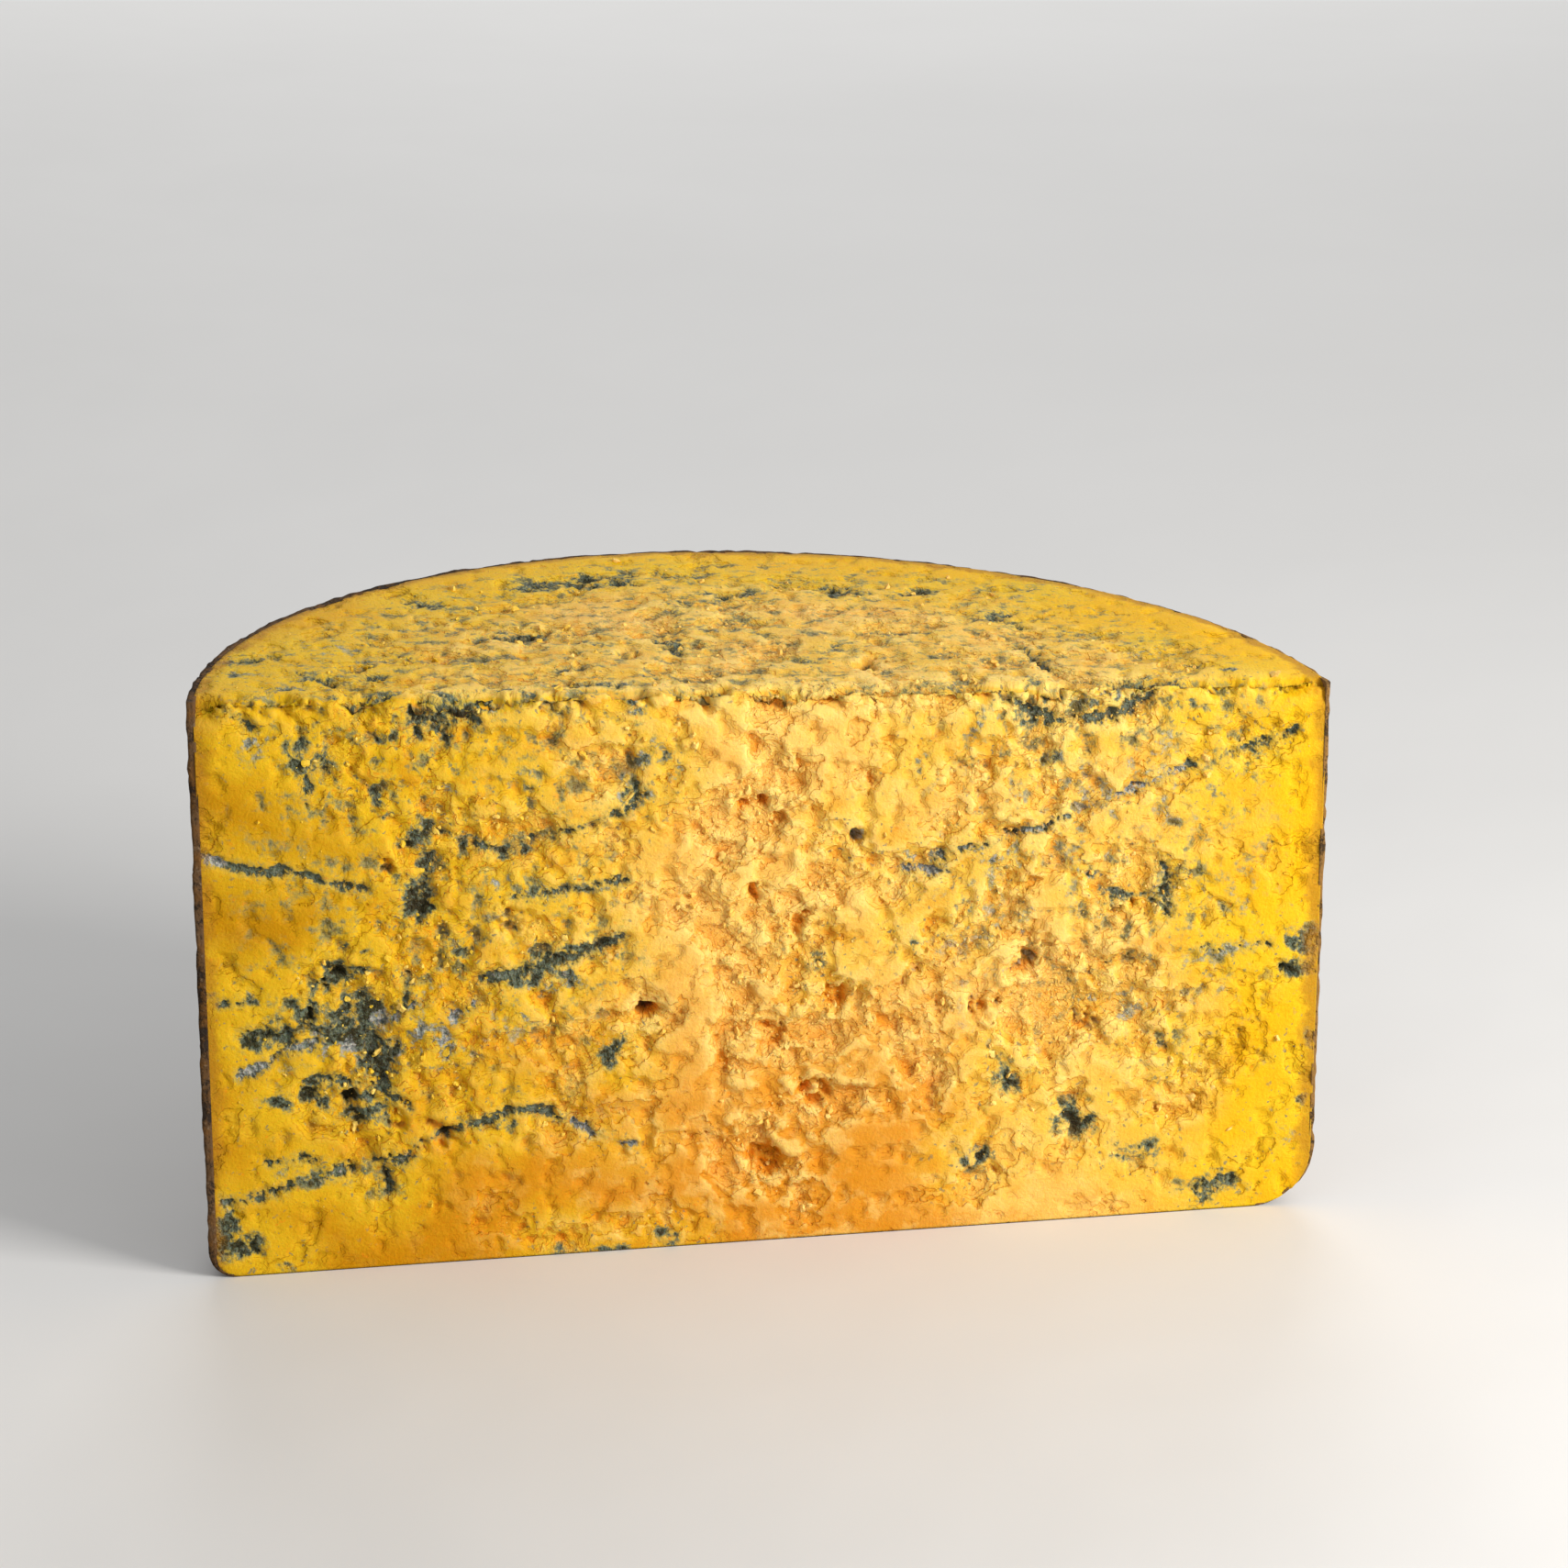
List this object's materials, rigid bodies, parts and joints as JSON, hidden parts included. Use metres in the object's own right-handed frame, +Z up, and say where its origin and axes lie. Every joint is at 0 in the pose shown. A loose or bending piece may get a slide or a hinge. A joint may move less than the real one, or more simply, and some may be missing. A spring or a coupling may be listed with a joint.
{
  "type": "half wheel of blue cheese",
  "caption": "Half wheel of a crumbly orange-gold blue-veined cheese: a drum cut down its middle, with a flat cut top, broken front and thin rough rind, resting flat on its rinded end.",
  "frame": {"origin": "centre of the bounding box in plan, at the height of the flat base", "axes": "+X along the cut front, from its left to its right seen from the front; +Y from the cut front to the back of the round side, so the front faces -Y; +Z up"},
  "size_m": [0.2088, 0.0954, 0.1108],
  "materials": {
    "paste": "crumbly orange-gold cheese with blue-green mould veins, deeper yellow towards the rind",
    "rind": "thin, dry, rough rind in mottled brown and grey with dark spots"
  },
  "bodies": {
    "root": {"half_wheel": "paste"}
  },
  "joints": []
}
